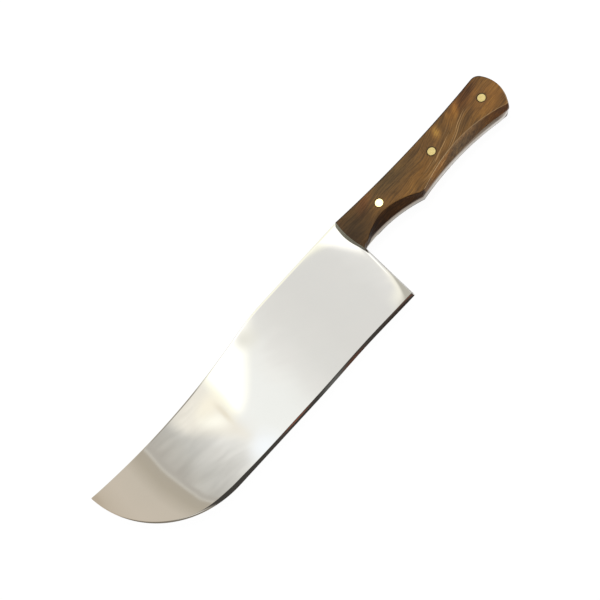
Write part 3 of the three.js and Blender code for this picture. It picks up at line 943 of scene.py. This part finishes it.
def polishedSteel(name):
    material, tree, shader = newMaterial(name, Metallic=1.0)
    place = placeOn(tree)
    spot = axes(tree, place)
    tang = remap(tree, spot["X"], *(heelX + x for x in steel["tangFrom"]))
    smear = streakNoise(tree, place, *steel["smears"])
    fine = streakNoise(tree, turnedPlace(tree, place, steel["polishTurn"]), *steel["polishLines"])
    ground = streakNoise(tree, place, *steel["groundLines"])
    tint = mixColour(tree, remap(tree, smear, *steel["smearFrom"]), steel["colour"], steel["smear"])
    dull = ramp(tree, spot["X"], steel["tangTones"])
    dull = vectorCalc(tree, "MULTIPLY", dull, remap(tree, ground, *steel["groundTones"]))
    dull = mixColour(tree, remap(tree, spot["Z"], *steel["tangTopFrom"]), dull, steel["tangTop"])
    plug(tree, shader.inputs["Base Color"], mixColour(tree, tang, tint, dull))
    mirror = remap(tree, smear, *steel["mirror"])
    mirror = calc(tree, "MULTIPLY_ADD", fine, steel["mirrorLines"], mirror)
    satin = calc(tree, "MULTIPLY_ADD", ground, steel["satinLines"], steel["satin"])
    plug(tree, shader.inputs["Roughness"], mixValue(tree, tang, mirror, satin))
    addBump(tree, shader, fine, steel["bump"], steel["bumpDepth"])
    return material


# Brass: sanded ends, with the lines running one way
brass = {
    "colour": (0.80, 0.65, 0.28), "dull": (0.70, 0.55, 0.22), "dullFrom": (0.35, 0.7),
    "lines": (4.0, 0.12, 2.0, 1.0), "linesTurn": 35, "clouds": (1.6, 1.6, 2.0, 4.0),
    "rough": 0.04, "roughLines": 0.10, "bump": 0.06, "bumpDepth": 0.03,
}


def sandedBrass(name):
    material, tree, shader = newMaterial(name, Metallic=1.0)
    place = placeOn(tree)
    lines = streakNoise(tree, turnedPlace(tree, place, brass["linesTurn"]), *brass["lines"])
    cloud = remap(tree, streakNoise(tree, place, *brass["clouds"]), *brass["dullFrom"])
    plug(tree, shader.inputs["Base Color"], mixColour(tree, cloud, brass["colour"], brass["dull"]))
    rough = calc(tree, "MULTIPLY_ADD", lines, brass["roughLines"], brass["rough"])
    plug(tree, shader.inputs["Roughness"], rough)
    addBump(tree, shader, lines, brass["bump"], brass["bumpDepth"])
    return material


def dress(piece, node, material):
    piece.data.materials.clear()
    piece.data.materials.append(material)
    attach(piece, "root")
    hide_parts(node)


dress(knifeBlade, "blade", polishedSteel("polished_steel"))
dress(leftScale, "left_scale", carvedWood("carved_wood_left", 1.0))
dress(rightScale, "right_scale", carvedWood("carved_wood_right", 21.0))
pinBrass = sandedBrass("sanded_brass")
for node, piece in brassPins.items():
    dress(piece, node, pinBrass)
print("materials made")


# Studio: white floor and world, one soft lamp, and a ceiling and walls that only polished surfaces mirror.
# Metres.
studio = {
    "ambient": 0.55, "lamp": 9.0, "lampAt": (0.35, 0.45, 0.9), "lampSize": 0.7,
    "floorSize": 4.0, "floorWhite": 0.9, "floorRough": 0.9, "floorGlow": 0.92, "floorLevel": 1.04,
}


# 1 where the camera, a mirror or glass sees a surface, 0 where it only lights others
def whiteShare(tree):
    ray = addNode(tree, "LightPath").outputs
    seen = calc(tree, "MAXIMUM", ray["Is Camera Ray"], ray["Is Glossy Ray"])
    return calc(tree, "MAXIMUM", seen, ray["Is Transmission Ray"])


def makeWorld():
    world = bpy.data.worlds.new("studio")
    bpy.context.scene.world = world
    world.use_nodes = True
    tree = world.node_tree
    back = tree.nodes["Background"]
    back.inputs["Color"].default_value = (1, 1, 1, 1)
    plug(tree, back.inputs["Strength"], mixValue(tree, whiteShare(tree), studio["ambient"], 1.0))


def squareAt(half, height):
    return [(-half, -half, height), (half, -half, height), (half, half, height), (-half, half, height)]


def makeSheet(name, corners):
    mesh = bpy.data.meshes.new(name)
    mesh.from_pydata(corners, [], [(0, 1, 2, 3)])
    sheet = bpy.data.objects.new(name, mesh)
    bpy.context.scene.collection.objects.link(sheet)
    return sheet


def makeFloor():
    floor = makeSheet("floor", squareAt(studio["floorSize"] / 2, 0))
    white = (*[studio["floorWhite"]] * 3, 1)
    material, tree, shader = newMaterial("floor_paper", Base_Color=white, Roughness=studio["floorRough"])
    glow = addNode(tree, "Emission", Color=(1, 1, 1, 1), Strength=studio["floorLevel"])
    mix = addNode(tree, "MixShader", Fac=calc(tree, "MULTIPLY", whiteShare(tree), studio["floorGlow"]))
    plug(tree, mix.inputs[1], shader.outputs[0])
    plug(tree, mix.inputs[2], glow.outputs[0])
    plug(tree, tree.nodes["Material Output"].inputs["Surface"], mix.outputs[0])
    floor.data.materials.append(material)


# Ceiling that only polished surfaces mirror. Places and blurs are millimetres at its height, tones are
# light over white. Tones run along x, from the tip's side to the heel's; ovals, panels and the tip's own
# tones lie over them.
ceiling = {
    "height": 700.0, "half": 1500.0, "sway": 12.0, "swayScale": 0.022,
    "tones": [(-300, (0.54, 0.50, 0.44)), (-262, (0.56, 0.53, 0.48)), (-240, (0.63, 0.61, 0.56)),
              (-220, (0.70, 0.69, 0.65)), (-200, (0.80, 0.79, 0.75)), (-180, (0.93, 0.925, 0.89)),
              (-160, (1.06, 1.06, 1.02)), (-130, (1.11, 1.125, 1.10)), (-100, (1.09, 1.105, 1.08)),
              (-80, (1.06, 1.065, 1.035)), (-60, (0.97, 0.965, 0.935)), (-35, (0.905, 0.90, 0.87)),
              (0, (0.88, 0.872, 0.845)), (60, (0.885, 0.88, 0.855)), (82, (0.94, 0.935, 0.91)),
              (96, (1.12, 1.10, 1.02)), (110, (1.1, 1.08, 1.02)), (150, (1.0, 1.0, 1.0))],
    # slanting folds that move the tones along x, and creases that lighten and darken them: length, width,
    # detail and seed of the streaks
    "folds": (70.0, 13.0, 2.0, 3.0), "foldTurn": -27, "foldSwing": 30.0,
    "creases": (60.0, 8.0, 2.0, 6.0), "creaseTurn": -10, "creaseLight": (0.34, 0.66, 0.92, 1.07),
    "creasesFrom": (-160.0, -190.0), "creasesTo": (-270.0, -245.0),
    # tone, then the borders of a panel: x, y, turn, blur
    "cream": ((1.06, 1.02, 0.92), [(-196, 255, 42, 10), (-218, 0, 0, 12), (-153, 0, 180, 8)]),
    # x, y, length, width, turn, tone
    "ovals": [(-174, 256, 34, 17, -48, (1.32, 1.30, 1.17)), (-165, 272, 20, 38, 80, (1.20, 1.14, 0.97)),
              (-158, 252, 26, 6, 93, (1.0, 0.93, 0.77)), (-150, 188, 34, 26, 0, (1.17, 1.22, 1.27)),
              (144, 314, 62, 54, 0, (5.0, 5.0, 5.0))],
    "panels": {
        "halo": ((1.3, 1.27, 1.06), [(-99, 272, 132, 9), (-152, 0, 0, 7), (0, 240, 90, 10)]),
        "hot": ((1.5, 1.5, 1.44), [(-99, 272, 132, 9), (-145, 0, 0, 6), (0, 238, 90, 11)]),
        "windowEdge": ((1.22, 1.21, 1.03), [(50, 298, 70, 3), (120, 0, 180, 6)]),
        "window": ((1.5, 1.48, 1.40), [(0, 309, 90, 4), (-146, 0, 0, 8), (-72, 0, 180, 8)]),
        "corner": ((1.5, 1.48, 1.40), [(78, 272, 30, 5), (120, 0, 180, 6), (0, 332, -90, 8)]),
        "heelGlow": ((1.13, 1.105, 0.99), [(84, 200, -73, 7), (70, 0, 0, 14), (200, 0, 180, 20)]),
        "heelGrey": ((0.78, 0.76, 0.71),
                     [(160, 0, 0, 12), (0, 285, -90, 8), (420, 0, 180, 20), (0, 100, 90, 10)]),
        "heelDark": ((0.06, 0.055, 0.05),
                     [(270, 0, 0, 20), (0, 285, -90, 8), (420, 0, 180, 20), (0, 100, 90, 10)]),
        "lowerCorner": ((0.60, 0.58, 0.51), [(84, 183, -73, 8), (66, 0, 0, 10), (200, 0, 180, 20)]),
        "clip": ((0.40, 0.37, 0.32), [(0, 345, 90, 14), (-170, 0, 180, 15)]),
        "flag": ((0.063, 0.058, 0.052), [(0, 152, -90, 8), (-310, 0, 0, 45), (200, 0, 180, 20)]),
        "flagEnd": ((0.24, 0.21, 0.17), [(0, 165, -90, 12), (-310, 0, 180, 45)]),
    },
    # the grey panel's corner, then pale, brown and dark things that the bevel mirrors
    "overlays": [
        (-77, 293, 22, 20, 0, (1.0, 0.985, 0.90)), (-365, 20, 80, 130, 0, (1.2, 1.15, 1.05)),
        (-100, 30, 34, 90, 0, (0.34, 0.12, 0.07)), (110, 50, 95, 100, 0, (0.20, 0.085, 0.055)),
        (62, -150, 62, 220, 0, (0.045, 0.032, 0.027)), (-34, -90, 38, 260, 0, (0.15, 0.148, 0.138)),
        (-4, -110, 24, 240, 0, (0.12, 0.055, 0.037)), (-96, -210, 40, 150, 0, (0.030, 0.018, 0.014)),
    ],
    "tipTones": [(-420, (0.60, 0.51, 0.40)), (-385, (0.66, 0.575, 0.465)), (-340, (0.71, 0.63, 0.525)),
                 (-305, (0.69, 0.62, 0.52)), (-283, (0.54, 0.485, 0.395)), (-271, (0.52, 0.47, 0.39)),
                 (-268.4, (0.68, 0.65, 0.58)), (-267.0, (0.68, 0.65, 0.58)), (-265.2, (0.56, 0.53, 0.48)),
                 (-258, (0.55, 0.52, 0.47))],
    "tipBend": 0.0032, "tipBendFrom": 285.0, "tipEnd": (-258.0, -263.0), "tipLow": (150.0, 175.0),
    "glints": [(-314, 176, 34, 26, 0, (0.93, 0.89, 0.80))],  # pale band along the belly's edge
}


# A value moved both ways by noise: swing times the noise less a half
def swung(tree, value, noise, swing):
    return calc(tree, "MULTIPLY_ADD", noise, swing, calc(tree, "SUBTRACT", value, swing / 2))


# Soft ovals laid over the colour one after another
def ovalTones(tree, place, colour, ovals):
    for *oval, tone in ovals:
        colour = mixColour(tree, ovalMask(tree, place, *oval), colour, tone)
    return colour


# A panel laid over the colour: its mask is the product of its borders
def panelTone(tree, place, colour, tone, borders):
    mask = 1.0
    for x, y, turn, blur in borders:
        side = useGroup(tree, softEdge, Vector=place, Point=(x, y, 0), Turn=turn, Blur=blur)
        mask = calc(tree, "MULTIPLY", side, mask)
    return mixColour(tree, mask, colour, tone)


# Streaks that lighten and darken the tones between the tip and the hot band
def creased(tree, place, colour):
    x = axes(tree, place)["X"]
    lines = streakNoise(tree, turnedPlace(tree, place, ceiling["creaseTurn"]), *ceiling["creases"])
    share = remap(tree, x, *ceiling["creasesFrom"])
    share = calc(tree, "MULTIPLY", share, remap(tree, x, *ceiling["creasesTo"]))
    light = mixValue(tree, share, 1.0, remap(tree, lines, *ceiling["creaseLight"]))
    return vectorCalc(tree, "MULTIPLY", colour, light)


# The tip's tones end at a thin bright line that bends as a parabola toward the heel's side
def tipTones(tree, place, colour):
    spot = axes(tree, place)
    below = calc(tree, "MAXIMUM", calc(tree, "SUBTRACT", ceiling["tipBendFrom"], spot["Y"]), 0.0)
    bent = calc(tree, "MULTIPLY_ADD", calc(tree, "MULTIPLY", below, below), -ceiling["tipBend"], spot["X"])
    share = remap(tree, bent, *ceiling["tipEnd"])
    share = calc(tree, "MULTIPLY", share, remap(tree, spot["Y"], *ceiling["tipLow"]))
    return mixColour(tree, share, colour, ramp(tree, bent, ceiling["tipTones"]))


def glowMaterial(name):
    material = bpy.data.materials.new(name)
    material.use_nodes = True
    tree = material.node_tree
    tree.nodes.remove(tree.nodes["Principled BSDF"])
    return material, tree, placeOn(tree)


# Gives a sheet its glow and hides it from all but the polished surfaces
def hang(sheet, material, colour):
    tree = material.node_tree
    glow = addNode(tree, "Emission", Color=colour, Strength=1.0)
    plug(tree, tree.nodes["Material Output"].inputs["Surface"], glow.outputs[0])
    sheet.data.materials.append(material)
    sheet.visible_camera = sheet.visible_diffuse = sheet.visible_shadow = sheet.visible_transmission = False


def makeCeiling():
    sheet = makeSheet("ceiling", squareAt(ceiling["half"] * mm, ceiling["height"] * mm))
    material, tree, place = glowMaterial("ceiling_panels")
    sway = addNode(tree, "TexNoise", Vector=place, Scale=ceiling["swayScale"], Detail=2.0).outputs["Fac"]
    folds = streakNoise(tree, turnedPlace(tree, place, ceiling["foldTurn"]), *ceiling["folds"])
    along = swung(tree, axes(tree, place)["X"], sway, ceiling["sway"])
    along = swung(tree, along, folds, ceiling["foldSwing"])
    colour = ramp(tree, along, ceiling["tones"])
    colour = panelTone(tree, place, colour, *ceiling["cream"])
    colour = ovalTones(tree, place, colour, ceiling["ovals"])
    for panel in ceiling["panels"].values():
        colour = panelTone(tree, place, colour, *panel)
    colour = ovalTones(tree, place, colour, ceiling["overlays"])
    colour = creased(tree, place, colour)
    colour = tipTones(tree, place, colour)
    colour = ovalTones(tree, place, colour, ceiling["glints"])
    hang(sheet, material, colour)


# Walls round the floor, grey below and lighter above, that low views of the blade mirror. Millimetres.
walls = {
    "from": 180.0, "half": 1500.0,
    "tones": [(150, (0.62, 0.61, 0.58)), (420, (0.74, 0.73, 0.70)), (750, (0.9, 0.89, 0.87))],
}


def makeWalls():
    low = squareAt(walls["half"] * mm, walls["from"] * mm)
    high = squareAt(walls["half"] * mm, ceiling["height"] * mm)
    for index in range(4):
        after = (index + 1) % 4
        name = "wall_" + str(index)
        sheet = makeSheet(name, [low[index], low[after], high[after], high[index]])
        material, tree, place = glowMaterial(name)
        hang(sheet, material, ramp(tree, axes(tree, place)["Z"], walls["tones"]))


def makeLamp():
    data = bpy.data.lights.new("soft_lamp", "AREA")
    data.energy, data.size = studio["lamp"], studio["lampSize"]
    lamp = bpy.data.objects.new("soft_lamp", data)
    lamp.location = studio["lampAt"]
    lamp.rotation_euler = (-lamp.location).to_track_quat("-Z", "Y").to_euler()
    lamp.visible_glossy = False
    bpy.context.scene.collection.objects.link(lamp)


# Camera: overhead, leaning toward the cutting edge's side, with the knife turned in the picture
view = {
    "lens": 75.0, "sensor": 36.0, "distance": 0.70325, "lean": 23.0, "turn": 47.4,
    "lookAt": (-0.00022, 0.01633, 0.00716),
}


def makeCamera():
    data = bpy.data.cameras.new("camera")
    data.lens, data.sensor_width = view["lens"], view["sensor"]
    camera = bpy.data.objects.new("camera", data)
    lean = Matrix.Rotation(math.radians(view["lean"]), 4, "X")
    turned = lean @ Matrix.Rotation(math.radians(-view["turn"]), 4, "Z")
    back = turned.to_3x3() @ Vector((0, 0, view["distance"]))
    camera.matrix_world = Matrix.Translation(back + Vector(view["lookAt"])) @ turned
    bpy.context.scene.collection.objects.link(camera)
    bpy.context.scene.camera = camera


makeWorld()
makeFloor()
makeCeiling()
makeWalls()
makeLamp()
makeCamera()
bpy.context.scene.view_settings.view_transform = "Standard"
print("studio made")
